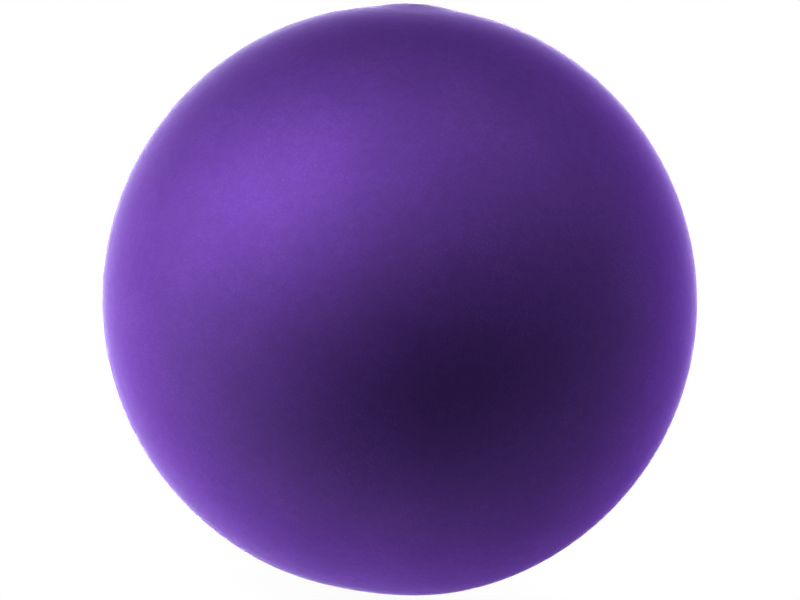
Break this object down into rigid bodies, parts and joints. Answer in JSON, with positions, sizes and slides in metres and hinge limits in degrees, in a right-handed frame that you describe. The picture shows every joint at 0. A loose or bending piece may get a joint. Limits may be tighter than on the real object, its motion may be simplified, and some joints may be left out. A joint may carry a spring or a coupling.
{
  "type": "playground rubber ball",
  "caption": "Inflatable rubber playground ball: a two-ply moulded cover over a thread-wound air bladder, with a self-sealing needle valve that can be replaced.",
  "frame": {"origin": "centre of the ball", "axes": "+Z is the valve's axis, out of the ball through the needle hole at the top; -Z points at the flat that the ball rests on; the valve's core pulls out along +Z"},
  "size_m": [0.2165, 0.2158, 0.2143],
  "materials": {
    "cover_rubber": "matte moulded rubber with a fine leathery grain",
    "ply_rubber": "matte calendered rubber sheet",
    "nylon_thread": "wound nylon thread set in cement",
    "butyl_rubber": "smooth satin butyl rubber",
    "patch_rubber": "matte rubberised cloth",
    "valve_rubber": "satin moulded rubber in the cover's colour"
  },
  "bodies": {
    "ball": {"cover_outer_ply": "cover_rubber", "cover_inner_ply": "ply_rubber", "nylon_winding": "nylon_thread", "bladder": "butyl_rubber", "valve_patch": "patch_rubber", "valve_boot": "valve_rubber"},
    "valve_core": {"valve_core": "valve_rubber"}
  },
  "joints": [
    {"name": "valve_core_pull", "type": "slide", "parent": "ball", "child": "valve_core", "axis": [0, 0, 1], "range_m": [0, 0.018]}
  ]
}
